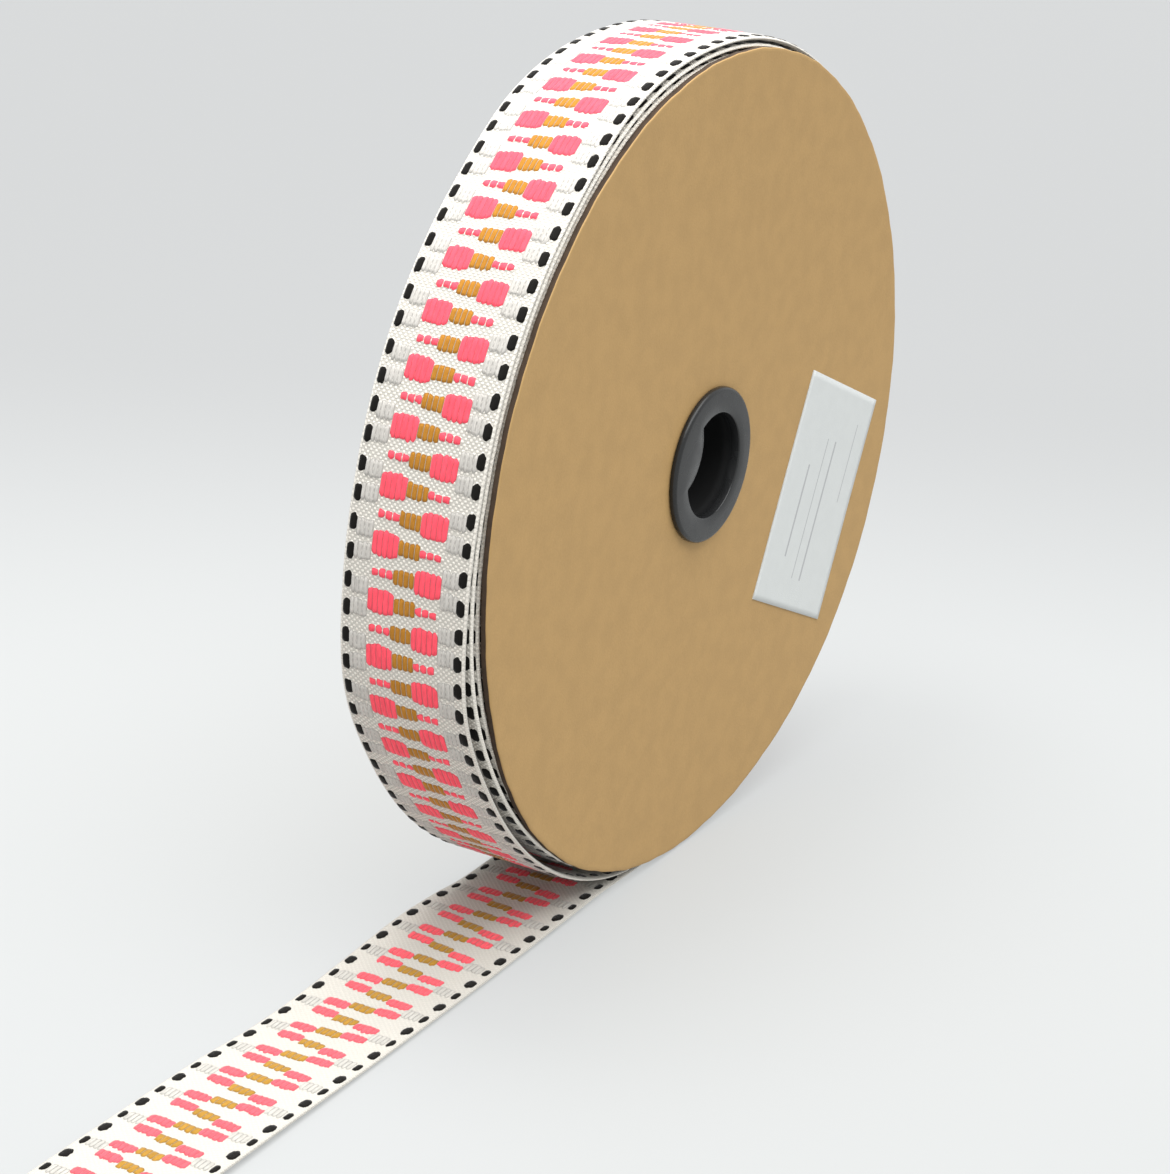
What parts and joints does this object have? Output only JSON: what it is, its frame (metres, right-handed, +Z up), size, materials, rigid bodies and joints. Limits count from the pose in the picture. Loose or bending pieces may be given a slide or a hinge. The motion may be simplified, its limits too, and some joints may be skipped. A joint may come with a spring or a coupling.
{
  "type": "roll of cotton webbing",
  "caption": "Cotton webbing wound on a reel with cardboard side discs and a plastic hub, standing on its rim, one end unrolled on the floor.",
  "frame": {"origin": "on the floor under the reel's axis, at the webbing's mid width: the middle of the flat spot that the reel stands on", "axes": "+Z up, +Y along the reel's axis away from the disc with the sticker, -X along the loose end on the floor"},
  "size_m": [0.4162, 0.0492, 0.2519],
  "materials": {
    "webbing": "off-white cotton with coral pink, ochre, pale grey and black woven floats",
    "cardboard": "matt kraft board",
    "hub_plastic": "semi-gloss black moulded plastic",
    "sticker_paper": "smooth white label paper"
  },
  "bodies": {
    "root": {"webbing_roll": "webbing", "loose_end": "webbing", "near_disc": "cardboard", "far_disc": "cardboard", "near_hub": "hub_plastic", "far_hub": "hub_plastic", "size_sticker": "sticker_paper"}
  },
  "joints": []
}
